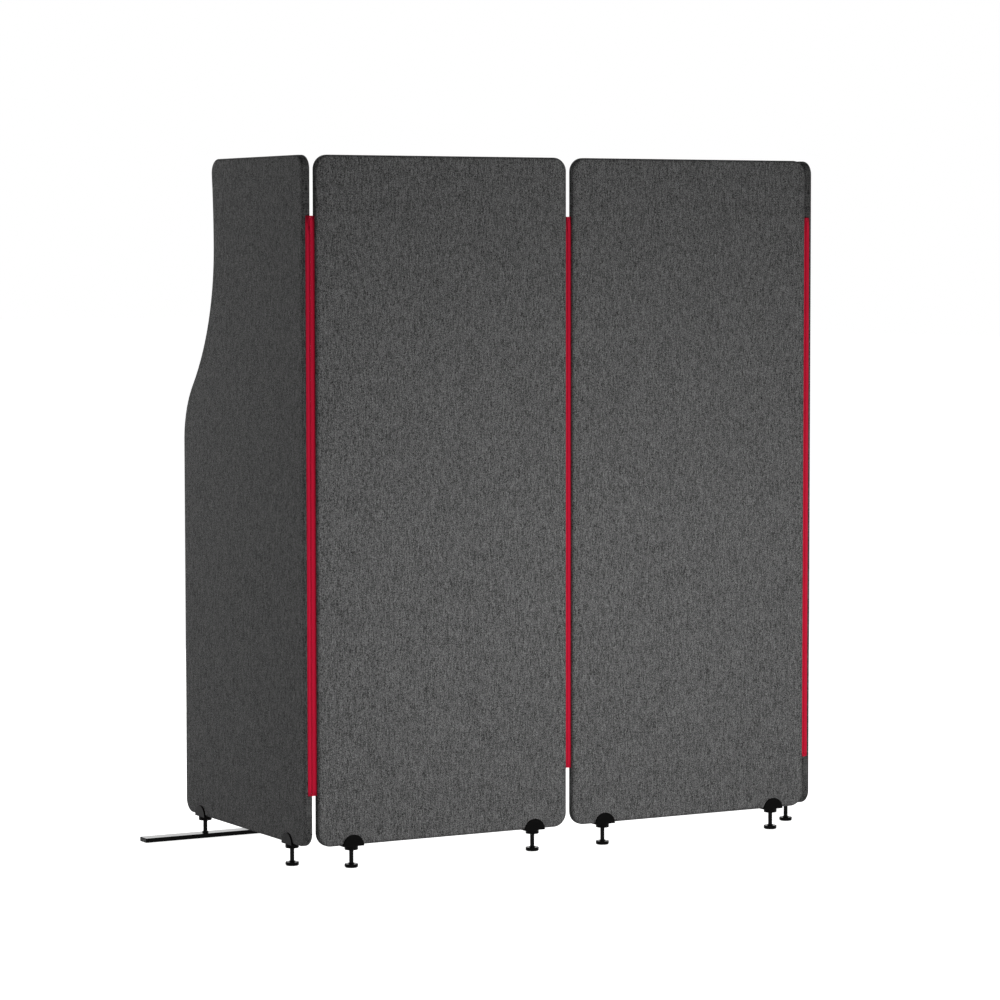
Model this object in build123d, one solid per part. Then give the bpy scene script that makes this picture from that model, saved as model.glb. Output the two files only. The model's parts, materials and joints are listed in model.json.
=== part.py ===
from build123d import *
import os
from math import atan2, degrees, hypot, sqrt

# Acoustic divider screen: four upright fabric panels joined by three zips, standing in a U
# that opens to the back. X runs along the two centre panels, Y points into the U's opening
# and Z is up. The origin lies on the floor at the centre of the screen's footprint.
# Every panel is drawn in its own frame: x away from the zip that carries it, y towards its
# outer face, z up from the floor. The left half is drawn and the right half mirrors it.

# Panels
panel_width = 600
panel_height = 1444
panel_thickness = 20
corner_radius = 30
edge_radius = 6
cover_thickness = 1.2
ground_clearance = 48

# Waisted far edge of a wing: wide below, a smooth S, then nearly straight to the top
waist_width = 439
waist_drop = 191
waist_radius = 453
shoulder_radius = 189
upper_radius = 1645

# How the panels stand to each other
panel_gap = 14.5
corner_gap = 6.3
corner_setback = 2.9

# Zips
zip_top_margin = 126
corner_zip_bottom_margin = 109
centre_zip_bottom_margin = 126
tape_thickness = 0.8
hem_radius = 0.5
seam_clearance = 0.2
ridge_height = 0.6
ridge_width = 2.4
ridge_overrun = 2
tooth_width = 2.2
tooth_height = 1.5
tooth_bevel = 0.4
stop_height = 4
stop_width = 3
stop_thickness = 2
stop_gap = 0.3

# Slider and pull tab
slider_height = 17
slider_wall = 1.65
slider_clearance = 0.15
slider_roof = 1.15
slider_bevel = 0.6
lug_width = 1.4
lug_height = 3
lug_from_top = 5
pin_radius = 0.45
pin_fit = 0.05
eye_radius = 1
eye_stand_off = 0.1
tab_width = 4
tab_thickness = 0.9
tab_length = 24
tab_side_gap = 0.15
tab_corner = 1

# Foot clamps
cheek_radius = 24.5
cheek_thickness = 3.8
cheek_edge = 0.8
web_thickness = 2
boss_radius = 14.4
boss_height = 8.5
boss_edge = 0.8
thread_fit = 0.05

# Clamp screws, in the rear cheek only
screw_spacing = 28
screw_rise = 12
screw_radius = 1.6
screw_length = 12
screw_head_radius = 3.2
screw_head_height = 1.4
screw_fit = 0.05

# Levelling feet
foot_inset = 81
spindle_radius = 4.65
spindle_engagement = 8
foot_travel_up = 14
foot_travel_down = 8
hole_clearance = 1
hole_end_gap = 2
pad_radius = 14.4
pad_height = 8
pad_top_edge = 0.8
pad_bottom_edge = 1.6
pad_socket_depth = 5
hub_radius = 7
hub_taper = 1.5
hub_height = 2

# Stabiliser bars
bar_length = 300
bar_width = 35
bar_thickness = 8
bar_corner = 2
bar_edge = 0.8
grip_thickness = 1.5
swivel_fit = 0.05
head_radius = 7.4
head_height = 2.2
head_clearance = 0.3
nut_across_flats = 12
nut_height = 3
nut_gap = 0.1

overrun = 1

# Derived places
half_thickness = panel_thickness / 2
corner_reach = half_thickness + corner_gap
seam_offset = ridge_height + seam_clearance + hem_radius
run_y = -(corner_setback + panel_width - pad_radius) / 2
run_end_x = -(panel_gap / 2 + panel_width)
wing_x = run_end_x - corner_reach
wing_y = run_y + corner_setback
panel_top = ground_clearance + panel_height
zip_top = panel_top - zip_top_margin
corner_zip_bottom = ground_clearance + corner_zip_bottom_margin
centre_zip_bottom = ground_clearance + centre_zip_bottom_margin
hole_depth = spindle_engagement + foot_travel_up + hole_end_gap
hole_radius = spindle_radius + hole_clearance
bore_radius = spindle_radius + thread_fit
clamp_bottom = ground_clearance - web_thickness - boss_height
bar_top = grip_thickness + bar_thickness
foot_places = (foot_inset, panel_width - foot_inset)


def upright(outline):
    """Stand an outline drawn in x and y up in the panel's own x and z."""
    return Plane.XZ * outline


def straight_outline(inset):
    """Face of a centre panel, drawn in by the inset, with rounded corners."""
    face = Rectangle(panel_width - 2 * inset, panel_height - 2 * inset)
    face = fillet(face.vertices(), corner_radius - inset)
    return Pos(panel_width / 2, ground_clearance + panel_height / 2) * face


def waisted_outline(inset):
    """Face of a wing: its far edge is a tangent chain of three arcs over a straight stretch."""
    near_x = inset
    far_x = panel_width - inset
    low = ground_clearance + inset
    high = panel_top - inset
    waist_x = waist_width - inset
    waist_z = panel_top - waist_drop
    hollow = waist_radius + inset
    shoulder = shoulder_radius - inset
    upper = upper_radius + inset
    hollow_x = waist_x + hollow
    shoulder_x = far_x - shoulder
    level_share = (hollow_x - shoulder_x) / (hollow + shoulder)
    rise_share = sqrt(1 - level_share**2)
    shoulder_z = waist_z - (hollow + shoulder) * rise_share
    bend_x = shoulder_x + shoulder * level_share
    bend_z = shoulder_z + shoulder * rise_share
    top_x = waist_x + upper - sqrt(upper**2 - (high - waist_z) ** 2)
    chain = [
        Line((near_x, low), (far_x, low)),
        Line((far_x, low), (far_x, shoulder_z)),
        RadiusArc((far_x, shoulder_z), (bend_x, bend_z), -shoulder),
        RadiusArc((bend_x, bend_z), (waist_x, waist_z), hollow),
        RadiusArc((waist_x, waist_z), (top_x, high), upper),
        Line((top_x, high), (near_x, high)),
        Line((near_x, high), (near_x, low)),
    ]
    face = make_face(chain)
    ends = [(near_x, low), (far_x, low), (top_x, high), (near_x, high)]
    corners = [v for v in face.vertices() if is_one_of(v, ends)]
    return fillet(corners, corner_radius - inset)


def is_one_of(vertex, places):
    """True where a vertex lies on one of the listed x, y places."""
    return any(hypot(vertex.X - x, vertex.Y - y) < edge_radius / 2 for x, y in places)


def cushion(outline, inset):
    """Plate with both face edges rounded, centred on the panel's mid-plane."""
    thickness = panel_thickness - 2 * inset
    plate = extrude(upright(outline(inset)), thickness / 2, both=True)
    rims = [e for face in plate.faces().filter_by(Axis.Y) for e in face.edges()]
    return fillet(rims, edge_radius - inset)


def block(x_range, y_range, z_range):
    """Box between pairs of coordinates."""
    size = [b - a for a, b in (x_range, y_range, z_range)]
    middle = [(a + b) / 2 for a, b in (x_range, y_range, z_range)]
    return Pos(*middle) * Box(*size)


def post(x, y, radius, z_range):
    """Upright cylinder."""
    low, high = z_range
    return Pos(x, y, (low + high) / 2) * Cylinder(radius, high - low)


def cross_rod(x, z, radius, y_range):
    """Cylinder along the panel's y."""
    near, far = y_range
    return Pos(x, (near + far) / 2, z) * Rot(90, 0, 0) * Cylinder(radius, far - near)


def spindle_holes():
    """Clearance holes for the spindles in the lower edge of a panel."""
    z_range = (ground_clearance - overrun, ground_clearance + hole_depth)
    return [post(x, 0, hole_radius, z_range) for x in foot_places]


def screw_places():
    """x of every clamp screw of a panel."""
    return [x + side * screw_spacing / 2 for x in foot_places for side in (-1, 1)]


def screw_holes(inner_y):
    """Pilot holes for the clamp screws, from outside the rear cheek to their tips."""
    z = ground_clearance - web_thickness + screw_rise
    tip = inner_y + screw_length + screw_fit
    radius = screw_radius + screw_fit
    return [cross_rod(x, z, radius, (inner_y - overrun, tip)) for x in screw_places()]


def seam_ridge(x, outwards, side, z_range):
    """Half of the sewn ridge that carries a zip tape, on one cover's side of the edge."""
    xs = sorted((x - outwards * cover_thickness / 2, x + outwards * ridge_height))
    ys = sorted((0, side * ridge_width / 2))
    return block(xs, ys, (z_range[0] - ridge_overrun, z_range[1] + ridge_overrun))


def panel_parts(outline, zips):
    """Core board and the two cover halves of a panel, in the panel's own frame."""
    body = cushion(outline, 0)
    core = cushion(outline, cover_thickness)
    rear = -(half_thickness + cheek_thickness)
    cuts = spindle_holes() + screw_holes(rear)
    reach = panel_width + panel_height
    covers = []
    for side in (1, -1):
        half = block((-reach, reach), sorted((0, side * panel_thickness)), (-reach, reach))
        cover = (body - core) & half
        for x, outwards, z_range in zips:
            cover += seam_ridge(x, outwards, side, z_range)
        covers.append(cover - cuts)
    return core - cuts, covers[0], covers[1]


def foot_clamp(x):
    """Saddle clamp: two half-round cheeks, the web that joins them and the threaded boss."""
    seat = ground_clearance - web_thickness
    outer = half_thickness + cheek_thickness
    disc = cross_rod(x, seat, cheek_radius, (-outer, outer))
    crown = (x - cheek_radius - overrun, x + cheek_radius + overrun)
    saddle = disc & block(crown, (-outer, outer), (seat, seat + cheek_radius + overrun))
    rims = [e for face in saddle.faces().filter_by(Axis.Y) for e in face.edges().filter_by(GeomType.CIRCLE)]
    saddle = chamfer(rims, cheek_edge)
    slot = block(
        crown,
        (-half_thickness, half_thickness),
        (ground_clearance, seat + cheek_radius + overrun),
    )
    boss = post(x, 0, boss_radius, (clamp_bottom, seat))
    lower_rim = boss.edges().group_by(Axis.Z)[0]
    boss = chamfer(lower_rim, boss_edge)
    bore = post(x, 0, bore_radius, (clamp_bottom - overrun, ground_clearance + overrun))
    return saddle - slot + boss - bore - screw_holes(-outer)


def clamp_screws():
    """Pan-head screws through the rear cheeks, heads on the cheek's face."""
    rear = -(half_thickness + cheek_thickness)
    z = ground_clearance - web_thickness + screw_rise
    screws = []
    for x in screw_places():
        shank = cross_rod(x, z, screw_radius, (rear - screw_head_height / 2, rear + screw_length))
        head = cross_rod(x, z, screw_head_radius, (rear - screw_head_height, rear))
        screws.append(shank + head)
    return screws


def padded_foot(x):
    """Threaded spindle seated in the socket of a round floor pad."""
    socket_floor = pad_height - pad_socket_depth
    top = ground_clearance + spindle_engagement
    spindle = post(x, 0, spindle_radius, (socket_floor, top))
    disc = post(x, 0, pad_radius, (0, pad_height))
    disc = chamfer(disc.edges().group_by(Axis.Z)[0], pad_bottom_edge)
    disc = chamfer(disc.edges().group_by(Axis.Z)[-1], pad_top_edge)
    cone = Cone(hub_radius, hub_radius - hub_taper, hub_height)
    hub = Pos(x, 0, pad_height + hub_height / 2) * cone
    socket = post(x, 0, bore_radius, (socket_floor, pad_height + hub_height + overrun))
    return spindle, disc + hub - socket


def bar_foot(x):
    """Spindle with a flat head under the stabiliser bar and a nut on top of it."""
    head_low = grip_thickness + head_clearance
    top = ground_clearance + spindle_engagement
    spindle = post(x, 0, spindle_radius, (head_low, top))
    spindle += post(x, 0, head_radius, (head_low, head_low + head_height))
    nut_low = bar_top + nut_gap
    hexagon = RegularPolygon(nut_across_flats / 2, 6, major_radius=False)
    nut = extrude(Pos(x, 0, nut_low) * hexagon, nut_height)
    nut = chamfer(nut.edges().group_by(Axis.Z)[-1], cheek_edge)
    nut -= post(x, 0, bore_radius, (nut_low - overrun, nut_low + nut_height + overrun))
    return spindle, nut


def stabiliser_bar(x):
    """Flat bar across the wing, counterbored below for the spindle's head, on a grip strip."""
    x_range = (x - bar_width / 2, x + bar_width / 2)
    y_range = (-bar_length / 2, bar_length / 2)
    bar = block(x_range, y_range, (grip_thickness, bar_top))
    bar = fillet(bar.edges().filter_by(Axis.Z), bar_corner)
    bar = chamfer(bar.edges().group_by(Axis.Z)[-1], bar_edge)
    bar -= post(x, 0, spindle_radius + swivel_fit, (grip_thickness - overrun, bar_top + overrun))
    recess_top = grip_thickness + 2 * head_clearance + head_height
    bar -= post(x, 0, head_radius + head_clearance, (grip_thickness - overrun, recess_top))
    grip = block(x_range, y_range, (0, grip_thickness))
    return bar, fillet(grip.edges().filter_by(Axis.Z), bar_corner)


def zip_tapes(span, z_range):
    """The two tapes between their seam axes at x = 0 and x = span, each with its teeth."""
    low, high = z_range
    middle = span / 2
    face = tape_thickness / 2
    teeth_low = low + stop_height + stop_gap
    teeth_high = high - stop_height - stop_gap
    web = block((0, middle), (-face, face), z_range) + post(0, 0, hem_radius, z_range)
    teeth = block((middle - tooth_width, middle), (0, face + tooth_height), (teeth_low, teeth_high))
    outer_edge = teeth.edges().filter_by(Axis.Z).sort_by(lambda e: e.center().X - e.center().Y)[0]
    first = web + chamfer(outer_edge, tooth_bevel)
    return first, mirror(first, about=Plane.YZ.offset(middle))


def zip_stops(span, z_range):
    """Bottom stop across both tapes and one top stop on each."""
    low, high = z_range
    middle = span / 2
    face = tape_thickness / 2
    depth = (face, face + stop_thickness)
    bottom = block((middle - stop_width, middle + stop_width), depth, (low, low + stop_height))
    tops = []
    for side in (-1, 1):
        xs = sorted((middle + side * stop_gap / 2, middle + side * stop_width))
        tops.append(block(xs, depth, (high - stop_height, high)))
    return [bottom] + tops


def slider_faces():
    """Depth of the slider's underside and of its front face in the zip's frame."""
    under = tape_thickness / 2 + slider_clearance
    front = tape_thickness / 2 + tooth_height + slider_clearance + slider_roof
    return under, front


def zip_slider(span, high):
    """Channel that straddles the teeth, with the lug and pin that carry the pull tab."""
    under, front = slider_faces()
    middle = span / 2
    groove = tooth_width + slider_clearance
    top = high - stop_height - stop_gap
    z_range = (top - slider_height, top)
    half = groove + slider_wall
    shell = block((middle - half, middle + half), (under, front), z_range)
    shell = chamfer(shell.faces().sort_by(Axis.Y)[-1].edges(), slider_bevel)
    roof = front - slider_roof
    cut_z = (z_range[0] - overrun, z_range[1] + overrun)
    shell -= block((middle - groove, middle + groove), (under - overrun, roof), cut_z)
    pin_y = front + eye_stand_off + eye_radius
    pin_z = top - lug_from_top
    lug = block(
        (middle - lug_width / 2, middle + lug_width / 2),
        (front - slider_roof / 2, pin_y + eye_radius),
        (pin_z - lug_height / 2, pin_z + lug_height / 2),
    )
    pin = Pos(middle, pin_y, pin_z) * Rot(0, 90, 0) * Cylinder(pin_radius, tab_width)
    return shell + lug + pin


def pull_tab(span, high):
    """Flat tab whose two eyes turn on the slider's pin."""
    middle = span / 2
    pin_y = slider_faces()[1] + eye_stand_off + eye_radius
    pin_z = high - stop_height - stop_gap - lug_from_top
    at_pin = Pos(middle, pin_y, pin_z) * Rot(0, 90, 0)
    eye = at_pin * Cylinder(eye_radius, tab_width)
    half = tab_width / 2
    blade = block(
        (middle - half, middle + half),
        (pin_y - tab_thickness / 2, pin_y + tab_thickness / 2),
        (pin_z - tab_length, pin_z),
    )
    lower = blade.edges().filter_by(Axis.Y).group_by(Axis.Z)[0]
    blade = fillet(lower, tab_corner)
    gap = lug_width / 2 + tab_side_gap
    reach = hypot(lug_height / 2, eye_radius) + tab_side_gap
    slot = at_pin * Cylinder(reach, 2 * gap)
    bore = at_pin * Cylinder(pin_radius + pin_fit, tab_width + 2 * overrun)
    return eye + blade - slot - bore


def save(nodes):
    """Write each node to its own STEP file."""
    os.makedirs("parts", exist_ok=True)
    for name, shape in nodes.items():
        solids = shape if isinstance(shape, list) else [shape]
        solids = [s for item in solids for s in item.solids()]
        whole = solids[0] if len(solids) == 1 else Compound(solids)
        export_step(whole, f"parts/{name}.step")
        print(f"{name}: {len(solids)} solid(s)")


def placed(shape, place):
    """A shape, or each shape of a list, moved to its place."""
    return [place * s for s in shape] if isinstance(shape, list) else place * shape


def mirrored(shape):
    """A shape, or each shape of a list, mirrored to the right half."""
    if isinstance(shape, list):
        return [mirror(s, about=Plane.YZ) for s in shape]
    return mirror(shape, about=Plane.YZ)


def panel_nodes(panel, outline, zips, bar_at_far_foot):
    """Every node that is drawn in a panel's own frame."""
    core, outer_cover, inner_cover = panel_parts(outline, zips)
    nodes = {
        f"{panel}_core": core,
        f"{panel}_outer_cover": outer_cover,
        f"{panel}_inner_cover": inner_cover,
        f"{panel}_clamp_screws": clamp_screws(),
    }
    for end, x in zip(("near", "far"), foot_places):
        nodes[f"{panel}_{end}_clamp"] = foot_clamp(x)
        if end == "far" and bar_at_far_foot:
            spindle, nut = bar_foot(x)
            bar, grip = stabiliser_bar(x)
            nodes[f"{panel}_{end}_nut"] = nut
            nodes[f"{panel}_bar"] = bar
            nodes[f"{panel}_bar_grip"] = grip
        else:
            spindle, pad = padded_foot(x)
            nodes[f"{panel}_{end}_pad"] = pad
        nodes[f"{panel}_{end}_spindle"] = spindle
    return nodes


def zip_nodes(name, span, z_range, sides):
    """Every node of one zip, in its own frame."""
    first, second = zip_tapes(span, z_range)
    return {
        f"{name}_{sides[0]}_tape": first,
        f"{name}_{sides[1]}_tape": second,
        f"{name}_stops": zip_stops(span, z_range),
        f"{name}_slider": zip_slider(span, z_range[1]),
        f"{name}_pull": pull_tab(span, z_range[1]),
    }


centre_z = (centre_zip_bottom, zip_top)
corner_z = (corner_zip_bottom, zip_top)

# Centre panel: its own frame starts at the centre gap and runs to the corner
centre_panel = panel_nodes(
    "centre_panel",
    straight_outline,
    [(0, -1, centre_z), (panel_width, 1, corner_z)],
    False,
)
centre_place = Pos(-panel_gap / 2, run_y, 0) * Rot(0, 0, 180)

# Wing: its own frame starts at the corner zip and runs to the back
wing = panel_nodes("wing", waisted_outline, [(0, -1, corner_z)], True)
wing_place = Pos(wing_x, wing_y, 0) * Rot(0, 0, 90)

# Corner zip: from the seam on the centre panel to the seam on the wing
seam_x = run_end_x - seam_offset
seam_y = run_y
step_x = wing_x - seam_x
step_y = wing_y - seam_offset - seam_y
corner_span = hypot(step_x, step_y)
corner_zip = zip_nodes("corner_zip", corner_span, corner_z, ("centre", "wing"))
corner_place = Pos(seam_x, seam_y, 0) * Rot(0, 0, degrees(atan2(step_y, step_x)))

nodes = {}
for parts, place in ((centre_panel, centre_place), (wing, wing_place), (corner_zip, corner_place)):
    for name, shape in parts.items():
        left = placed(shape, place)
        nodes["left_" + name] = left
        nodes["right_" + name] = mirrored(left)

# Centre zip: from the seam on the right centre panel to the seam on the left one
centre_span = panel_gap - 2 * seam_offset
centre_zip = zip_nodes("centre_zip", centre_span, centre_z, ("right", "left"))
centre_zip_place = Pos(centre_span / 2, run_y, 0) * Rot(0, 0, 180)
for name, shape in centre_zip.items():
    nodes[name] = placed(shape, centre_zip_place)

save(nodes)
print(f"seam offset {seam_offset:.3f}, corner zip span {corner_span:.3f}")
print(f"corner zip turn {degrees(atan2(step_y, step_x)):.3f}")
print(f"run_y {run_y:.3f}, wing at {wing_x:.3f}, {wing_y:.3f}")
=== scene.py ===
# %% [markdown]
# # Acoustic divider screen
# A free-standing office screen: two upright panels side by side, a waisted wing at each end,
# red zips between them and black feet below. The solid model already holds every rigid piece
# at its real size, so this lesson dresses it: cloth, zips, finishes, light and camera.
# Lengths are in metres, Z is up and the screen's front faces -Y.

import json
from math import cos, hypot, pi, radians, sin, sqrt

import bmesh
import bpy
import numpy as np
from mathutils import Matrix, Vector


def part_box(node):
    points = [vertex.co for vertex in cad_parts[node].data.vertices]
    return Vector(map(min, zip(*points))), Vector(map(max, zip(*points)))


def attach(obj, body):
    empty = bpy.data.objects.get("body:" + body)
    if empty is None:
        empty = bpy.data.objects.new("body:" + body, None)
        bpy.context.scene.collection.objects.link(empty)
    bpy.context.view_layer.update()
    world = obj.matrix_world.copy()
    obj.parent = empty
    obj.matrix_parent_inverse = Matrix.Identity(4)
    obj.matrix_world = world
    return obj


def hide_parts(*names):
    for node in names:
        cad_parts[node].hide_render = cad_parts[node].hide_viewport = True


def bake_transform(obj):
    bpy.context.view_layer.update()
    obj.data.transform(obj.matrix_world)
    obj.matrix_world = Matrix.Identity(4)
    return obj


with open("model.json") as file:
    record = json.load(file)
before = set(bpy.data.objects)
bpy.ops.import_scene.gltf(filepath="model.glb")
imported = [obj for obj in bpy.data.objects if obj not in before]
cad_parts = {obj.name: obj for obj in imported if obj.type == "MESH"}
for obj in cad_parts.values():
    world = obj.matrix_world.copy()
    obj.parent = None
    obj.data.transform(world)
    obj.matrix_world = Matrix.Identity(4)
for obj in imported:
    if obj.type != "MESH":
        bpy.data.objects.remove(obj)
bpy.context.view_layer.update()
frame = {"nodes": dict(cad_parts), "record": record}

# %% [markdown]
# ## The camera
# A photograph is a perspective drawing, so known right angles in it give the lens and the
# place it was taken from. The panel edges were followed back to one point of view: almost
# 8 m away with a long lens, a little below the screen's top. A long lens far away keeps the
# verticals nearly parallel; a short one close by would make the near panel loom.

# %% Set the camera
camera_place = Vector((-3.98665, -7.12525, 1.28901))
camera_heading = 0.50985
camera_dip = 0.06726
camera_roll = -0.00108

lens_length = 132.13
sensor_width = 36

lens = bpy.data.cameras.new("photo_camera")
lens.lens = lens_length
lens.sensor_width = sensor_width
camera = bpy.data.objects.new("photo_camera", lens)
bpy.context.scene.collection.objects.link(camera)
heading = Matrix.Rotation(-camera_heading, 4, "Z")
tilt = Matrix.Rotation(pi / 2 - camera_dip, 4, "X")
roll = Matrix.Rotation(camera_roll, 4, "Z")
camera.matrix_world = Matrix.Translation(camera_place) @ heading @ tilt @ roll
bpy.context.scene.camera = camera
bpy.context.scene.view_settings.view_transform = "Standard"
print("camera at", [round(v, 3) for v in camera.location], "lens", round(lens.lens, 1), "mm")

# %% [markdown]
# ## Small helpers
# A few helpers carry the whole lesson. One turns lists of points and faces into an object.
# The others place a shader node, set its values and join its inputs, so that each finish
# reads from top to bottom like a recipe.

# %% Helper for meshes
def make_piece(name, points, faces, cloth=None, edge=None, smooth=True):
    """An object from points and faces.

    cloth holds each point's place on the flat fabric, edge how much painted shade darkens it.
    """
    mesh = bpy.data.meshes.new(name)
    mesh.from_pydata([tuple(p) for p in points], [], [tuple(f) for f in faces])
    mesh.validate()
    if cloth is not None:
        place = mesh.attributes.new("cloth", "FLOAT_VECTOR", "POINT")
        place.data.foreach_set("vector", np.array(cloth, np.float32).ravel())
    if edge is not None:
        tone = mesh.attributes.new("edge", "FLOAT", "POINT")
        tone.data.foreach_set("value", np.array(edge, np.float32))
    mesh.shade_smooth() if smooth else mesh.shade_flat()
    piece = bpy.data.objects.new(name, mesh)
    bpy.context.scene.collection.objects.link(piece)
    return piece


print("mesh helper ready")

# %% Helpers for shader nodes
def feed(tree, node, inputs):
    """Sets a node's inputs, each from a value or from another node's socket.

    An input is named, with _ for a space, or numbered as i0, i1 and so on.
    """
    for name, value in inputs.items():
        numbered = name[0] == "i" and name[1:].isdigit()
        key = int(name[1:]) if numbered else name.replace("_", " ")
        if isinstance(value, bpy.types.NodeSocket):
            tree.links.new(value, node.inputs[key])
        else:
            node.inputs[key].default_value = value


def step(tree, kind, settings=None, **inputs):
    """A shader node with its settings and inputs."""
    made = tree.nodes.new("ShaderNode" + kind)
    for name, value in (settings or {}).items():
        setattr(made, name, value)
    feed(tree, made, inputs)
    return made


def math_of(tree, kind, a, b=0.0):
    """One step of arithmetic between two values or sockets."""
    return step(tree, "Math", {"operation": kind}, i0=a, i1=b).outputs[0]


def vector_of(tree, kind, **inputs):
    """One step of arithmetic on vectors."""
    return step(tree, "VectorMath", {"operation": kind}, **inputs).outputs[0]


def mixed(tree, factor, low, high):
    """A value between two, at the factor."""
    return step(tree, "Mix", {"data_type": "FLOAT"}, i0=factor, i2=low, i3=high).outputs[0]


print("node helpers ready")

# %% [markdown]
# ## Effects that several finishes share
# A node group is an effect with named knobs. Building it once and giving each finish its own
# knob settings keeps them alike in character and different in strength. A group hands out
# tones, masks and heights only; the surface shader itself stays in each finish.

# %% Start a shader group
SOCKETS = {"value": "NodeSocketFloat", "vector": "NodeSocketVector"}


def new_group(name, inputs, outputs):
    """An empty group with its knobs; each input is (name, kind, default)."""
    group = bpy.data.node_groups.new(name, "ShaderNodeTree")
    for label, kind, default in inputs:
        knob = group.interface.new_socket(label, in_out="INPUT", socket_type=SOCKETS[kind])
        if default is not None:
            knob.default_value = default
    for label, kind in outputs:
        group.interface.new_socket(label, in_out="OUTPUT", socket_type=SOCKETS[kind])
    return group, group.nodes.new("NodeGroupInput"), group.nodes.new("NodeGroupOutput")


print("socket kinds", sorted(SOCKETS))

# %% [markdown]
# ### Woven yarns
# Plain weave is a chessboard: on one square the upright yarn lies on top, on the next the
# cross yarn does. A sine across each yarn gives it a round back. In a melange cloth every
# yarn is spun from dark and light fibre, so its tone drifts along its own length. Noise that
# is steady along a yarn and changes from one yarn to the next gives those short dashes. Each
# crossing also shows another side of its yarn, so every square gets a fleck of its own. No
# yarn runs dead straight, so the whole chessboard wanders a little before it is drawn.

# %% Build the weave group
yarn_apart = 7.31  # how far apart neighbouring yarns read the noise, so that they differ
sway_reach = (1.0, 1.6, 0.0)


def yarn_tone(group, across, along, reach, seed, detail):
    """Tone of a yarn: a new one for each yarn, drifting along its length."""
    own = math_of(group, "MULTIPLY", math_of(group, "FLOOR", across), yarn_apart)
    drift = math_of(group, "MULTIPLY", along, reach)
    place = step(group, "CombineXYZ", X=own, Y=drift, Z=seed).outputs[0]
    noise = step(group, "TexNoise", Vector=place, Scale=1.0, Detail=detail, Roughness=0.6)
    return noise.outputs[0]


def yarn_back(group, across):
    """Height of a yarn: round across its width, and lowest where it meets its neighbour."""
    wave = math_of(group, "SINE", math_of(group, "MULTIPLY", across, pi))
    return math_of(group, "ABSOLUTE", wave)


weave, knobs, out = new_group(
    "woven_yarns",
    [
        ("Place", "vector", None), ("Yarn pitch", "value", 0.0014),
        ("Upright drift", "value", 0.16), ("Cross drift", "value", 0.45),
        ("Fleck", "value", 0.2), ("Wander", "value", 0.8),
    ],
    [("Tone", "value"), ("Height", "value")],
)
knob = knobs.outputs
counted = vector_of(weave, "DIVIDE", i0=knob["Place"], i1=knob["Yarn pitch"])
sway = step(weave, "TexNoise", Vector=counted, Scale=0.7, Detail=2.0, Roughness=0.7)
sway = vector_of(weave, "SUBTRACT", i0=sway.outputs["Color"], i1=(0.5, 0.5, 0.5))
sway = vector_of(weave, "MULTIPLY", i0=sway, i1=sway_reach)
sway = vector_of(weave, "SCALE", i0=sway, Scale=knob["Wander"])
counted = vector_of(weave, "ADD", i0=counted, i1=sway)
# half a square above the cloth's plane, so that no rounding flips the chessboard
counted = vector_of(weave, "ADD", i0=counted, i1=(0.0, 0.0, 0.5))
parts = step(weave, "SeparateXYZ", Vector=counted)
u, v = parts.outputs[0], parts.outputs[1]
print("yarns counted across and up")

# %% Choose the yarn that lies on top
board = step(weave, "TexChecker", Vector=counted, Scale=1.0).outputs[1]
upright_tone = yarn_tone(weave, u, v, knob["Upright drift"], seed=3.7, detail=0.0)
cross_tone = yarn_tone(weave, v, u, knob["Cross drift"], seed=9.2, detail=2.0)
tone = mixed(weave, board, cross_tone, upright_tone)
height = mixed(weave, board, yarn_back(weave, v), yarn_back(weave, u))
square = vector_of(weave, "FLOOR", i0=counted)
fleck = step(weave, "TexWhiteNoise", Vector=square).outputs["Value"]
weave.links.new(mixed(weave, knob["Fleck"], tone, fleck), out.inputs["Tone"])
weave.links.new(height, out.inputs["Height"])
print("weave group:", len(weave.nodes), "nodes")

# %% [markdown]
# ### Rubbed edges and fine grain
# Hands and shoes polish the outer edges of hard parts. A bevel node looks up the normal that
# a rounded edge would have; where it differs from the true one, there is an edge. Moulded
# and powder-coated surfaces also have a fine grain, which breaks up their highlights.

# %% Build the edge group
edge_gain = 6.0
rubbed, knobs, out = new_group(
    "rubbed_edges",
    [("Reach", "value", 0.0008), ("Amount", "value", 0.5)],
    [("Mask", "value")],
)
true_normal = step(rubbed, "NewGeometry").outputs["Normal"]
round_normal = step(rubbed, "Bevel", {"samples": 4}, Radius=knobs.outputs["Reach"]).outputs[0]
turned = {"operation": "DOT_PRODUCT"}
same = step(rubbed, "VectorMath", turned, i0=true_normal, i1=round_normal).outputs["Value"]
edge = math_of(rubbed, "MULTIPLY", math_of(rubbed, "SUBTRACT", 1.0, same), edge_gain)
place = step(rubbed, "TexCoord").outputs["Object"]
patchy = step(rubbed, "TexNoise", Vector=place, Scale=260.0, Detail=3.0).outputs[0]
worn = math_of(rubbed, "MULTIPLY", edge, patchy)
worn = math_of(rubbed, "MULTIPLY", worn, knobs.outputs["Amount"])
rubbed.links.new(step(rubbed, "Clamp", Value=worn).outputs[0], out.inputs["Mask"])
print("edge group:", len(rubbed.nodes), "nodes")

# %% Build the grain group
grain, knobs, out = new_group(
    "fine_grain",
    [("Grain size", "value", 0.0006)],
    [("Height", "value"), ("Cloudy", "value")],
)
place = step(grain, "TexCoord").outputs["Object"]
counted = vector_of(grain, "DIVIDE", i0=place, i1=knobs.outputs["Grain size"])
pebbles = step(grain, "TexNoise", Vector=counted, Scale=1.0, Detail=2.0, Roughness=0.6)
clouds = step(grain, "TexNoise", Vector=place, Scale=35.0, Detail=3.0)
grain.links.new(pebbles.outputs[0], out.inputs["Height"])
grain.links.new(clouds.outputs[0], out.inputs["Cloudy"])
print("grain group:", len(grain.nodes), "nodes")

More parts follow.
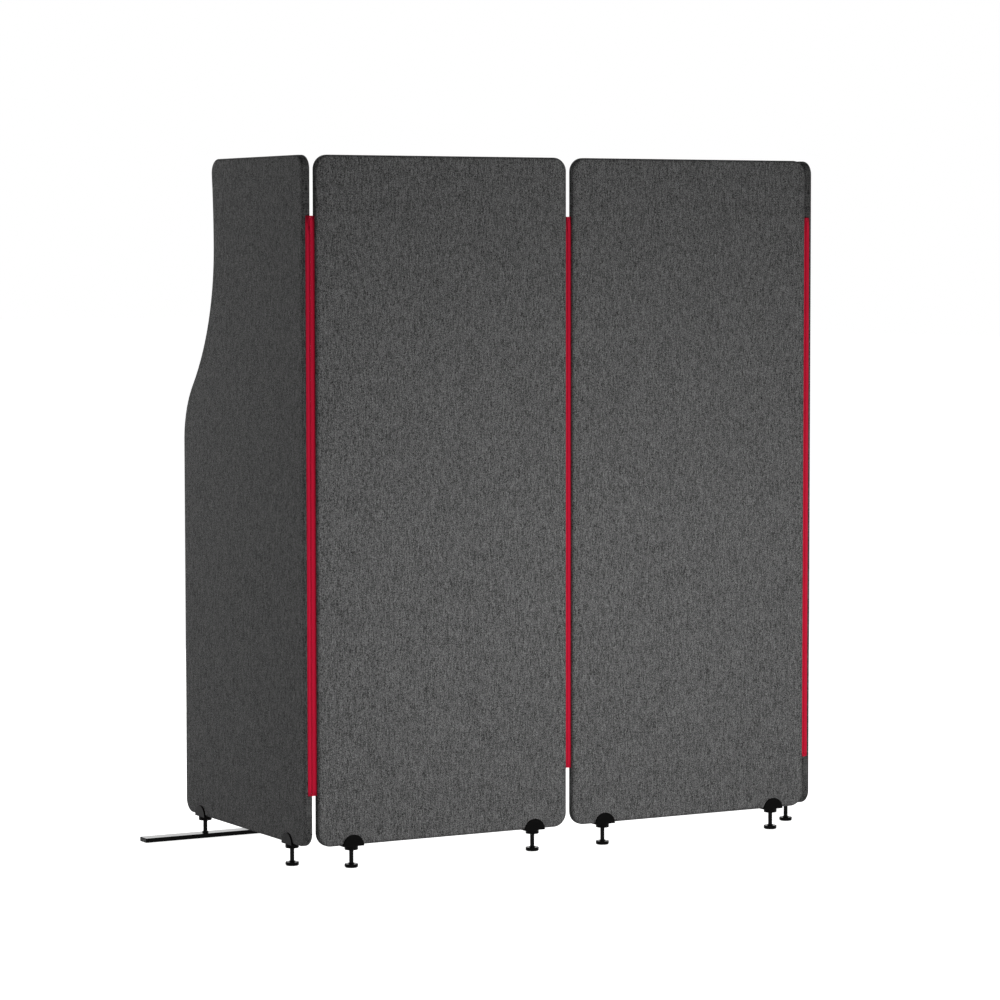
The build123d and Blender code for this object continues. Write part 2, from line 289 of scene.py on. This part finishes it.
# %% [markdown]
# ## The finishes
# Every finish is a Principled shader. Values that are the same all over, such as sheen or
# specular level, are typed on its own sockets. Only what varies over the surface, such as
# the yarn tone or the worn edges, comes in through links.

# %% Start a finish
def new_finish(name, **plain):
    """A material with its Principled shader and that shader's plain values."""
    material = bpy.data.materials.new(name)
    material.use_nodes = True
    tree = material.node_tree
    tree.nodes.clear()
    surface = step(tree, "BsdfPrincipled", **plain)
    sink = step(tree, "OutputMaterial")
    tree.links.new(surface.outputs[0], sink.inputs["Surface"])
    return material, tree, surface


def use_group(tree, group, **inputs):
    """One of the shared groups, placed in a finish with its own knob settings."""
    placed = step(tree, "Group", {"node_tree": group})
    feed(tree, placed, inputs)
    return placed


def blend_of(tree, factor, low, high):
    """A colour between two, at the factor."""
    mix = step(tree, "Mix", {"data_type": "RGBA"}, i0=factor, i6=(*low, 1), i7=(*high, 1))
    return mix.outputs[2]


def bump(tree, surface, height, depth, strength):
    """Feeds a height to the shader's normal; depth is the real relief in metres."""
    relief = step(tree, "Bump", Height=height, Distance=depth, Strength=strength)
    tree.links.new(relief.outputs[0], surface.inputs["Normal"])


print("finish helpers ready")

# %% [markdown]
# ### Charcoal melange cloth
# The covers are a coarse charcoal cloth. Close by it is a weave of dark and pale fibres;
# from across the room it reads as a grey with short upright flecks. A ramp turns yarn tone
# into fibre colour, and its steep middle keeps both dark and pale yarns in sight. Less
# light reaches the narrow edges of a panel, so shade is painted there: each cover carries
# an edge value, and the colour is scaled down by it. The wings' edges get the deepest
# painted shade.

# %% Make the cover cloth
cover_cloth, tree, surface = new_finish(
    "charcoal_cloth",
    Roughness=0.95, Specular_IOR_Level=0.1, Sheen_Weight=0.05, Sheen_Roughness=0.5,
)
place = step(tree, "Attribute", {"attribute_name": "cloth"}).outputs["Vector"]
yarns = use_group(
    tree, weave, Place=place,
    Yarn_pitch=0.0013, Upright_drift=0.08, Cross_drift=0.8, Fleck=0.34,
)
ramp = step(tree, "ValToRGB", Fac=yarns.outputs["Tone"])
ramp.color_ramp.elements.new(0.5)
fibre_tones = ((0.3, 0.012), (0.5, 0.091), (0.7, 0.205))
for stop, (position, tone) in zip(ramp.color_ramp.elements, fibre_tones):
    stop.position = position
    stop.color = (tone, tone, tone, 1)
print("fibre tones:", fibre_tones)

# %% Paint shade into the valleys between yarns and onto the covers' edges, and raise the relief
yarn_height = yarns.outputs["Height"]
fibres = step(tree, "TexNoise", Vector=place, Scale=2600.0, Detail=2.0, Roughness=0.7)
fibres = fibres.outputs[0]
# painted shade: the colour is darker where the yarns dip between each other
valley = math_of(tree, "ADD", math_of(tree, "MULTIPLY", yarn_height, 0.8), 0.08)
valley = math_of(tree, "ADD", valley, math_of(tree, "MULTIPLY", fibres, 0.7))
# painted shade: the covers' edges get less light, so their colour is scaled down by the edge
# value
painted_edge_shade = step(tree, "Attribute", {"attribute_name": "edge"}).outputs["Fac"]
drawn = math_of(tree, "SUBTRACT", 1.0, painted_edge_shade)
shade = math_of(tree, "MULTIPLY", valley, drawn)
shaded = vector_of(tree, "SCALE", i0=ramp.outputs[0], Scale=shade)
tree.links.new(shaded, surface.inputs["Base Color"])
relief = math_of(tree, "ADD", yarn_height, math_of(tree, "MULTIPLY", fibres, 0.5))
bump(tree, surface, relief, depth=0.0003, strength=0.5)
print("cover cloth:", len(tree.nodes), "nodes")

# %% [markdown]
# ### Black moulding, steel, powder coat and rubber, felt board and enamel
# All the black parts are dark to the front and pale on top, where they are seen at a glancing
# angle. Powder flows out smoothest on the face that lies upward in the oven, and moulded
# tops are wiped clean most often, so upward faces get a gloss coat through a mask of their
# normal. The rest has a low specular level, a fine grain and slightly paler rubbed edges.

# %% Start a hard finish
def hard_finish(
    name, colour, worn_colour, rough, grain_size, relief, wear, specular, top_gloss=0.0
):
    """A moulded, coated or metal surface with fine grain, rubbed edges and a glossy top."""
    material, tree, surface = new_finish(
        name, Specular_IOR_Level=specular, Coat_IOR=1.5, Coat_Roughness=0.1
    )
    texture = use_group(tree, grain, Grain_size=grain_size)
    worn = use_group(tree, rubbed, Reach=0.0007, Amount=wear)
    shown = blend_of(tree, worn.outputs["Mask"], colour, worn_colour)
    tree.links.new(shown, surface.inputs["Base Color"])
    spread = math_of(tree, "SUBTRACT", texture.outputs["Cloudy"], 0.5)
    spread = math_of(tree, "MULTIPLY", spread, 0.2)
    tree.links.new(math_of(tree, "ADD", spread, rough), surface.inputs["Roughness"])
    bump(tree, surface, texture.outputs["Height"], depth=relief, strength=0.6)
    if top_gloss:  # the coat begins where a face is nearly level
        normal = step(tree, "NewGeometry").outputs["Normal"]
        upward = step(tree, "SeparateXYZ", Vector=normal).outputs[2]
        top = step(
            tree, "MapRange", Value=upward, From_Min=0.8, From_Max=0.98, To_Max=top_gloss
        )
        tree.links.new(top.outputs[0], surface.inputs["Coat Weight"])
    return material


print("hard finish ready")

# %% Make the hard finishes
black_moulding = hard_finish(
    "black_moulding", (0.002, 0.002, 0.002), (0.02, 0.02, 0.02), rough=0.24,
    grain_size=0.0005, relief=0.00002, wear=0.5, specular=0.03, top_gloss=0.5,
)
black_steel = hard_finish(
    "blackened_steel", (0.003, 0.003, 0.003), (0.05, 0.05, 0.055), rough=0.26,
    grain_size=0.0003, relief=0.00001, wear=0.6, specular=0.06, top_gloss=0.5,
)
powder_coat = hard_finish(
    "black_powder_coat", (0.002, 0.002, 0.002), (0.04, 0.04, 0.04), rough=0.16,
    grain_size=0.0008, relief=0.00001, wear=0.4, specular=0.04, top_gloss=1.0,
)
grip_rubber = hard_finish(
    "grip_rubber", (0.01, 0.01, 0.01), (0.02, 0.02, 0.02), rough=0.7,
    grain_size=0.0006, relief=0.00006, wear=0.3, specular=0.2,
)
felt_board = hard_finish(
    "felt_board", (0.4, 0.37, 0.32), (0.45, 0.42, 0.37), rough=0.9,
    grain_size=0.0012, relief=0.0002, wear=0.2, specular=0.1,
)
red_enamel = hard_finish(
    "red_enamel", (0.5, 0.0095, 0.036), (0.56, 0.03, 0.05), rough=0.5,
    grain_size=0.0004, relief=0.00002, wear=0.3, specular=0.1,
)
blacks = (black_moulding, black_steel, powder_coat, grip_rubber)
print("black finishes:", [finish.name for finish in blacks])
print("other hard finishes:", felt_board.name, "and", red_enamel.name)

# %% [markdown]
# ### Red zip tape
# A zip tape is a narrow, dense weave, so it takes the same weave group with a much finer
# pitch. Its tone hardly drifts, because the yarn is dyed in one bath.

# %% Make the zip tape finish
red_tape, tree, surface = new_finish(
    "red_tape",
    Roughness=0.9, Specular_IOR_Level=0.08, Sheen_Weight=0.02, Sheen_Roughness=0.4,
)
place = step(tree, "Attribute", {"attribute_name": "cloth"}).outputs["Vector"]
yarns = use_group(
    tree, weave, Place=place,
    Yarn_pitch=0.0005, Upright_drift=0.1, Cross_drift=0.1, Fleck=0.1,
)
colour = blend_of(tree, yarns.outputs["Tone"], (0.47, 0.009, 0.033), (0.56, 0.013, 0.044))
tree.links.new(colour, surface.inputs["Base Color"])
bump(tree, surface, yarns.outputs["Height"], depth=0.00015, strength=0.6)
print("zip tape:", len(tree.nodes), "nodes")

# %% [markdown]
# ## Finish the rigid solids
# The feet, clamps, bars, nuts, screws, sliders and pulls already have their true shape, so
# they only change material. The solid covers and tapes get theirs as well, although finer
# pieces stand in for them below.

# %% Give each rigid solid its finish
# each node's finish goes by the end of its name
finish_for = {
    "_core": felt_board,
    "_clamp": black_moulding,
    "_screws": black_steel,
    "_spindle": black_steel,
    "_nut": black_steel,
    "_pad": black_moulding,
    "_bar": powder_coat,
    "_grip": grip_rubber,
    "_stops": red_enamel,
    "_slider": red_enamel,
    "_pull": red_enamel,
    "_cover": cover_cloth,
    "_tape": red_tape,
}
for name, solid in frame["nodes"].items():
    finish = next(made for ending, made in finish_for.items() if name.endswith(ending))
    solid.data.materials.clear()
    solid.data.materials.append(finish)
print("finished", len(frame["nodes"]), "solids")

# %% [markdown]
# ## The covers
# A cover is cloth pulled tight over a board, in two halves that meet along the middle of
# the panel's edge. It could be inflated by a cloth simulation, but a taut cover has no
# slack to simulate: it follows the board. So one profile, from the seam round the edge to
# the flat face, is carried along the panel's outline, and the weave's place is measured
# along the cloth so that the yarns run on round the edge.

# %% Draw the outline of a straight panel
panel_width = 0.600
panel_bottom = 0.048
panel_top = 1.492
corner_radius = 0.030


def arc(centre_x, centre_z, radius, start, end, outward=1, turn=5):
    """Points round an arc from start to end in degrees, each with the outline's normal."""
    count = max(2, round(abs(end - start) / turn))
    row = []
    for k in range(count + 1):
        a = radians(start + (end - start) * k / count)
        x, z = cos(a), sin(a)
        row.append((centre_x + radius * x, centre_z + radius * z, outward * x, outward * z))
    return row


def filled(points, spacing=0.03):
    """The outline with extra points along its long straight stretches."""
    row = []
    for k, (x, z, nx, nz) in enumerate(points):
        row.append((x, z, nx, nz))
        x2, z2, nx2, nz2 = points[(k + 1) % len(points)]
        length = hypot(x2 - x, z2 - z)
        if length > spacing and nx * nx2 + nz * nz2 > 0.9999:
            parts = round(length / spacing)
            for i in range(1, parts):
                row.append((x + (x2 - x) * i / parts, z + (z2 - z) * i / parts, nx, nz))
    return row


def straight_outline(width, low, high):
    """Anticlockwise outline with four equal rounded corners."""
    r = corner_radius
    points = arc(width - r, low + r, r, -90, 0) + arc(width - r, high - r, r, 0, 90)
    points += arc(r, high - r, r, 90, 180) + arc(r, low + r, r, 180, 270)
    return filled(points)


outline = straight_outline(panel_width, panel_bottom, panel_top)
print("straight outline:", len(outline), "points")

# %% [markdown]
# The wing's far edge is wide at desk height and narrow above it. Three arcs that share
# their tangents make that S: a convex shoulder, a hollow below the waist and a long, nearly
# straight hollow up to the top.

# %% Draw the outline of a wing
waist_width = 0.439
waist_drop = 0.191
waist_radius = 0.453
shoulder_radius = 0.189
upper_radius = 1.645


def waisted_outline(width, low, high):
    """Anticlockwise outline of a wing, with the waisted far edge."""
    r = corner_radius
    waist_z = high - waist_drop
    hollow_x = waist_width + waist_radius
    shoulder_x = width - shoulder_radius
    reach = waist_radius + shoulder_radius
    lean = np.degrees(np.arccos((hollow_x - shoulder_x) / reach))
    shoulder_z = waist_z - reach * sin(radians(lean))
    upper_x = waist_width + upper_radius
    # the top corner touches the top edge and the long upper hollow
    rise = high - r - waist_z
    centre_x = upper_x - sqrt((upper_radius + r) ** 2 - rise**2)
    touch = np.degrees(np.arctan2(rise, centre_x - upper_x))
    points = arc(width - r, low + r, r, -90, 0)
    points += arc(shoulder_x, shoulder_z, shoulder_radius, 0, lean, turn=3)
    points += arc(hollow_x, waist_z, waist_radius, 180 + lean, 180, -1, turn=3)[1:]
    points += arc(upper_x, waist_z, upper_radius, 180, touch, -1, turn=1)[1:]
    points += arc(centre_x, high - r, r, touch - 180, 90)[1:]
    points += arc(r, high - r, r, 90, 180) + arc(r, low + r, r, 180, 270)
    return filled(points)


outline = waisted_outline(panel_width, panel_bottom, panel_top)
print("waisted outline:", len(outline), "points")

# %% [markdown]
# The profile starts in the seam at the middle of the edge, rolls out over the edge's
# rounding and ends on the flat face. The same profile, drawn in by the cloth's thickness,
# closes the back of the cloth.

# %% Draw the profile of a half cover
cloth_thickness = 0.0012
edge_radius = 0.006
half_panel = 0.010
seam_depth = 0.0009
seam_gap = 0.00005
# the seam's groove: share of its depth, and distance from the panel's middle
groove = ((1.0, seam_gap), (0.45, 0.0002), (0.12, 0.0006), (0.0, 0.0012))
face_margin = 0.012
rounding_steps = 8


def cover_profile():
    """(drawn in from the outline, out from the panel's middle) from the seam to the face."""
    flat = half_panel - edge_radius
    row = [(seam_depth * share, out) for share, out in groove] + [(0.0, flat)]
    for k in range(1, rounding_steps + 1):
        a = radians(90 * k / rounding_steps)
        row.append((edge_radius * (1 - cos(a)), flat + edge_radius * sin(a)))
    return row + [(edge_radius + face_margin, half_panel)]


def drawn_in(profile):
    """The back of the cloth: a thickness further in, and a little more on the rounding."""
    flat, deepest = half_panel - edge_radius, half_panel - cloth_thickness
    row = []
    for inset, depth in profile:
        inset = max(inset, cloth_thickness)
        depth = min(max(depth, seam_gap), deepest)
        if flat < depth < deepest:
            inset += cloth_thickness * 0.4
        row.append((inset, depth))
    return row


print("cover profile:", len(cover_profile()), "rings")

# %% Carry the profile along the outline
def cover_shell(name, outline, to_world, side, edge_shade_share):
    """Half of a cover: outer rings and face, inner rings and face, joined at the seam.

    The last argument is the share of painted shade on the cloth where it rounds the edge.
    """
    outer = cover_profile()
    inner = drawn_in(outer)
    count = len(outline)
    points, cloth, edge, faces = [], [], [], []
    for rings in (outer, inner[::-1]):
        run = [0.0]
        for (i1, d1), (i2, d2) in zip(rings, rings[1:]):
            run.append(run[-1] + hypot(i2 - i1, d2 - d1))
        face_at = run[-1] if rings is outer else 0.0
        for (inset, depth), length in zip(rings, run):
            proud = abs(face_at - length) - rings[-1 if rings is outer else 0][0]
            for x, z, nx, nz in outline:
                points.append(to_world(x - nx * inset, side * depth, z - nz * inset))
                cloth.append((x + nx * proud, z + nz * proud, 0.0))
            # painted shade, full on the flat edge band and fading out over the rounding
            edge += [edge_shade_share * max(0.0, 1 - inset / edge_radius)] * count
    total = 2 * len(outer)
    for ring in range(total):
        if ring == len(outer) - 1:
            continue  # each side's last ring is filled by a flat face below
        here, after = ring * count, (ring + 1) % total * count
        for k in range(count):
            n = (k + 1) % count
            faces.append((here + k, here + n, after + n, after + k))
    face_ring = (len(outer) - 1) * count
    faces.append([face_ring + k for k in range(count)])
    faces.append([face_ring + count + k for k in reversed(range(count))])
    return make_piece(name, points, faces, cloth, edge)


print("a half cover has", 2 * len(cover_profile()), "rings")

# %% [markdown]
# Each panel is drawn in its own frame, with x away from the zip that carries it and y to
# its outer face, and a small function takes that frame into the room. The places come from
# the solid core inside each cover.

# %% Make the eight half covers
def centre_place(side):
    """From a centre panel's own frame to the room."""
    low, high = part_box(f"{side}_centre_panel_core")
    start = (high.x if side == "left" else -low.x) + cloth_thickness
    middle = (low.y + high.y) / 2
    flip = 1 if side == "left" else -1
    return lambda x, y, z: (flip * (start - x), middle - y, z)


def wing_place(side):
    """From a wing's own frame to the room."""
    low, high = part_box(f"{side}_wing_core")
    middle = (low.x + high.x) / 2
    start = low.y - cloth_thickness
    flip = 1 if side == "left" else -1
    return lambda x, y, z: (middle - flip * y, start + x, z)


covers = []
for side in ("left", "right"):
    # the last number on each row is the share of painted shade on that panel's edges
    for panel, draw, placing, edge_shade_share in (
        ("centre_panel", straight_outline, centre_place, 0.25),
        ("wing", waisted_outline, wing_place, 0.45),
    ):
        low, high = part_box(f"{side}_{panel}_core")
        outline = draw(panel_width, low.z - cloth_thickness, high.z + cloth_thickness)
        for half, direction in (("outer", 1), ("inner", -1)):
            name = f"{side}_{panel}_{half}_cloth"
            cover = cover_shell(name, outline, placing(side), direction, edge_shade_share)
            cover.data.materials.append(cover_cloth)
            covers.append(cover)
            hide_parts(f"{side}_{panel}_{half}_cover")
            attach(cover, f"{side}_{panel}")
print("covers:", len(covers), "with", sum(len(c.data.polygons) for c in covers), "faces")

# %% [markdown]
# Mirroring a frame turns faces inside out. Rather than track which covers were mirrored,
# each closed shell is asked to point its faces outwards. A closed shell of cloth has twice
# the area of the cut. Laid flat, the blank is the panel's face and, on each side, the way
# round half of the panel's edge.


def turn_out(piece):
    """Points every face of a closed piece outwards."""
    work = bmesh.new()
    work.from_mesh(piece.data)
    bmesh.ops.recalc_face_normals(work, faces=work.faces)
    work.to_mesh(piece.data)
    work.free()


for cover in covers:
    turn_out(cover)

# %% [markdown]
# ## The zips
# Each zip joins two panels along the middle of their end faces. Its tapes are sewn in at
# the seams, turn there as the screen folds, and carry the teeth between them. A tape that
# crosses a hinge has to bend; each is drawn as a fine mesh.

# %% Find the two seams of each zip
tape_thickness = 0.0007
seam_stand_off = 0.0013


def body_of_node(node):
    """The body that carries a solid."""
    bodies = frame["record"]["behaviour"]["bodies"]
    return next(body for body, held in bodies.items() if node in held)


def seam(node, way):
    """Plan place of the seam before a board's end that faces the way (x, y)."""
    low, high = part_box(node)
    middle = (low.xy + high.xy) / 2
    half = (high.xy - low.xy) / 2
    reach = cloth_thickness + seam_stand_off
    return middle + Vector((way[0] * (half.x + reach), way[1] * (half.y + reach)))


# each zip's two tapes: name, the panel it is sewn to and the way that panel's end faces
zips = {
    "centre_zip": [
        ("left", "left_centre_panel", (1, 0)), ("right", "right_centre_panel", (-1, 0)),
    ],
    "left_corner_zip": [
        ("centre", "left_centre_panel", (-1, 0)), ("wing", "left_wing", (0, -1)),
    ],
    "right_corner_zip": [
        ("centre", "right_centre_panel", (1, 0)), ("wing", "right_wing", (0, -1)),
    ],
}
bands, seams, reaches = {}, {}, {}
for name, ends in zips.items():
    bands[name] = body_of_node(f"{name}_stops")
    seams[name] = [seam(f"{panel}_core", way) for _, panel, way in ends]
    reaches[name] = [corner.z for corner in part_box(f"{name}_{ends[0][0]}_tape")]
    span = (seams[name][1] - seams[name][0]).length
    print(name, "rides on", bands[name], "and spans", round(span, 4))

# %% [markdown]
# A tape is a smooth line in plan, from the sewn ridge out to its seam and on to the teeth,
# given a thickness and drawn up the full height. At the seam a curve that is pulled towards
# one corner point turns the line without a kink.

# %% Draw the plan lines of a tape
ridge_length = 0.0005
bend_start = 0.0007
bend_end = 0.0011
middle_gap = 0.0002
flap_reach = 0.0021


def bend_through(start, corner, end, count=8):
    """Points on the curve from start to end that is pulled towards the corner."""
    row = []
    for k in range(count + 1):
        t = k / count
        row.append(start * (1 - t) ** 2 + corner * 2 * t * (1 - t) + end * t**2)
    return row


def tape_line(seam, outward, middle, runs=4):
    """Plan line of a tape: ridge, bend at the seam, straight run to the middle."""
    root = seam - outward * seam_stand_off
    along = (middle - seam).normalized()
    line = [root, root + outward * ridge_length]
    line += bend_through(root + outward * bend_start, seam, seam + along * bend_end)
    reach = (middle - seam).length - middle_gap
    for k in range(1, runs + 1):
        line.append(seam + along * (bend_end + (reach - bend_end) * k / runs))
    return line


def flap_line(seam, outward):
    """Plan line of the sewn flap that lies on the panel's edge, across the tape's root."""
    across = Vector((-outward.y, outward.x))
    root = seam - outward * (seam_stand_off - tape_thickness / 2)
    return [root + across * (flap_reach * k / 3) for k in range(-3, 4)]


line = tape_line(Vector((0, 0)), Vector((1, 0)), Vector((0.006, 0)))
print("a tape's plan line has", len(line), "points")

# %% Draw strips up from plan lines
def strips(name, lines, low, high, thickness, rows=60):
    """Closed strips along plan lines, from low to high, in one piece."""
    points, cloth, faces = [], [], []
    for line in lines:
        run = [0.0]
        for p, q in zip(line, line[1:]):
            run.append(run[-1] + (q - p).length)
        sides = []
        for k, p in enumerate(line):
            ahead = (line[min(k + 1, len(line) - 1)] - line[max(k - 1, 0)]).normalized()
            aside = Vector((-ahead.y, ahead.x)) * thickness / 2
            sides.append((p + aside, p - aside))
        loop = [one for one, _ in sides] + [other for _, other in reversed(sides)]
        count, half, first = len(loop), len(line), len(points)
        for row in range(rows + 1):
            z = low + (high - low) * row / rows
            points += [(p.x, p.y, z) for p in loop]
            cloth += [(s, z, 0.0) for s in run + run[::-1]]
        for row in range(rows):
            for k in range(count):
                here, there = first + row * count, first + (row + 1) * count
                n = (k + 1) % count
                faces.append((here + k, here + n, there + n, there + k))
        for base, flip in ((first, True), (first + rows * count, False)):
            for k in range(half - 1):
                quad = (base + k, base + k + 1, base + count - 2 - k, base + count - 1 - k)
                faces.append(quad[::-1] if flip else quad)
    piece = make_piece(name, points, faces, cloth)
    turn_out(piece)
    return piece


print("tapes are", tape_thickness, "m thick")

# %% [markdown]
# A tape sewn to the panel that carries its zip rides on that panel. A tape sewn to a body
# that its zip doesn't belong to would have to follow both and bend between them; here it
# stays where it is drawn, on no body.

for name, ends in zips.items():
    middle = (seams[name][0] + seams[name][1]) / 2
    low, high = reaches[name]
    for (which, panel, way), place in zip(ends, seams[name]):
        outward = Vector(way)
        lines = [tape_line(place, outward, middle), flap_line(place, outward)]
        tape = strips(f"{name}_{which}_tape_woven", lines, low, high, tape_thickness)
        tape.data.materials.append(red_tape)
        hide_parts(f"{name}_{which}_tape")
        if bands[name] == panel:
            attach(tape, panel)
        else:
            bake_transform(tape)
        print(tape.name, len(tape.data.polygons), "faces")

# %% [markdown]
# The teeth are moulded onto the tapes' edges, each row half a pitch above the other, and
# they hook past the middle. One tooth is a small block with sloping shoulders; the rows
# repeat it up the zip, so two meshes hold each zip's chain.

# %% Draw one tooth
tooth_root = 0.0022
tooth_hook = 0.0007
tooth_back = 0.00035
tooth_front = 0.0019
tooth_half = 0.00062
front_half = 0.00038
shoulder = 0.0004
hook_bevel = 0.00025
# layer by layer: depth, half height, reach to the tape, reach past the middle
TOOTH_LAYERS = [
    (tooth_back, tooth_half, tooth_root, tooth_hook),
    (tooth_front - shoulder, tooth_half, tooth_root, tooth_hook),
    (tooth_front, front_half, tooth_root - shoulder, tooth_hook - hook_bevel),
]
TOOTH_FACES = [
    (0, 1, 3, 2), (0, 2, 6, 4), (1, 5, 7, 3), (0, 4, 5, 1), (2, 3, 7, 6),
    (4, 6, 10, 8), (5, 9, 11, 7), (4, 8, 9, 5), (6, 7, 11, 10), (8, 10, 11, 9),
]


def one_tooth(centre, along, outside, z, direction):
    """Points of a tooth: a wide foot on the tape, then a narrower and lower front."""
    points = []
    for depth, half_height, root, hook in TOOTH_LAYERS:
        for across in (-root, hook):
            for lift in (-half_height, half_height):
                plan = centre + along * (across * direction) + outside * depth
                points.append((plan.x, plan.y, z + lift))
    return points


print("a tooth has", len(TOOTH_FACES), "faces")

# %% Make the rows of teeth
tooth_pitch = 0.0026
end_room = 0.0052


def tooth_row(name, a, b, low, high, direction, offset):
    """All the teeth on one tape; offset is the first one's height in pitches."""
    along = (b - a).normalized()
    outside = Vector((-along.y, along.x))
    if outside.y > 0:
        outside = -outside
    middle = (a + b) / 2
    low, high = low + end_room, high - end_room
    points, faces = [], []
    for k in range(int((high - low) / tooth_pitch)):
        z = low + (k + offset) * tooth_pitch
        base = len(points)
        points += one_tooth(middle, along, outside, z, direction)
        faces += [tuple(base + i for i in f) for f in TOOTH_FACES]
    row = make_piece(name, points, faces, smooth=False)
    turn_out(row)
    return row


for name, ends in zips.items():
    for (which, _, _), direction, offset in zip(ends, (1, -1), (0.25, 0.75)):
        place = (*seams[name], *reaches[name])
        row = tooth_row(f"{name}_{which}_teeth", *place, direction, offset)
        row.data.materials.append(red_enamel)
        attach(row, bands[name])
    print(name, "teeth:", len(row.data.polygons) // len(TOOTH_FACES), "a side")

# %% [markdown]
# ## Floor and light
# The photograph has a pure white background. That white comes from what the camera and
# mirrors see, not from more light on the screen: for those rays the floor and the world
# are white, and for all others they are plain studio surroundings. The floor lies one
# millimetre low, so that no foot's face ever lies in the same plane.

# %% Lay the floor
floor_drop = 0.001
floor_plan = ((-30, -30), (30, -30), (30, 60), (-30, 60))
floor_tone = (0.55, 0.55, 0.55)
floor_tone_seen = (0.8, 0.8, 0.8)


def seen_directly(tree):
    """1 for the rays of the camera, of mirrors and through glass, 0 for all others."""
    path = step(tree, "LightPath").outputs
    seen = math_of(tree, "MAXIMUM", path["Is Camera Ray"], path["Is Glossy Ray"])
    return math_of(tree, "MAXIMUM", seen, path["Is Transmission Ray"])


floor_corners = [(x, y, -floor_drop) for x, y in floor_plan]
floor = make_piece("studio_floor", floor_corners, [(0, 1, 2, 3)], smooth=False)
pale_floor = bpy.data.materials.new("pale_floor")
pale_floor.use_nodes = True
tree = pale_floor.node_tree
tree.nodes.clear()
seen = seen_directly(tree)
tone = blend_of(tree, seen, floor_tone, floor_tone_seen)
matt = step(tree, "BsdfDiffuse", Color=tone)
glow = math_of(tree, "MULTIPLY", seen, 0.95)
glow = step(tree, "Emission", Color=(1, 1, 1, 1), Strength=glow)
both = step(tree, "AddShader", i0=matt.outputs[0], i1=glow.outputs[0])
tree.links.new(both.outputs[0], step(tree, "OutputMaterial").inputs["Surface"])
floor.data.materials.append(pale_floor)
print("floor laid", floor_drop, "m below the feet")

# %% Set the white studio
world = bpy.data.worlds.new("white_studio")
world.use_nodes = True
bpy.context.scene.world = world
tree = world.node_tree
tree.nodes.clear()
around = step(tree, "Background", Color=(1, 1, 1, 1), Strength=0.1)
white = step(tree, "Background", Color=(1, 1, 1, 1), Strength=1.0)
both = step(
    tree, "MixShader", i0=seen_directly(tree), i1=around.outputs[0], i2=white.outputs[0]
)
tree.links.new(both.outputs[0], step(tree, "OutputWorld").inputs["Surface"])
print("world:", len(tree.nodes), "nodes")

# %% [markdown]
# Four softboxes light the screen. A low, wide one stands before the run, because the
# photograph's panels are brightest low down. A small one catches the left wing, one hangs
# over the screen for the upper edges, and one stands behind it for the open side.

# %% Light the room
def softbox(name, place, target, width, height, watts):
    """A rectangular lamp that faces a target and isn't seen itself."""
    lamp = bpy.data.lights.new(name, "AREA")
    lamp.shape = "RECTANGLE"
    lamp.size, lamp.size_y = width, height
    lamp.energy = watts
    box = bpy.data.objects.new(name, lamp)
    bpy.context.scene.collection.objects.link(box)
    box.location = place
    box.rotation_euler = (Vector(target) - Vector(place)).to_track_quat("-Z", "Y").to_euler()
    box.visible_camera = False
    box.visible_glossy = False


softbox("front_softbox", (0.16, -2.0, 0.45), (0.16, -0.3, 0.45), 2.25, 0.4, watts=34)
softbox("left_softbox", (-2.8, 1.0, 1.15), (-0.6, 0.2, 1.1), 1.2, 0.8, watts=23)
softbox("top_softbox", (0.0, 1.5, 4.0), (0, 0.2, 0.4), 3.0, 3.0, watts=32)
softbox("back_softbox", (0.5, 3.5, 1.6), (0, 0, 0.7), 3.0, 2.0, watts=85)
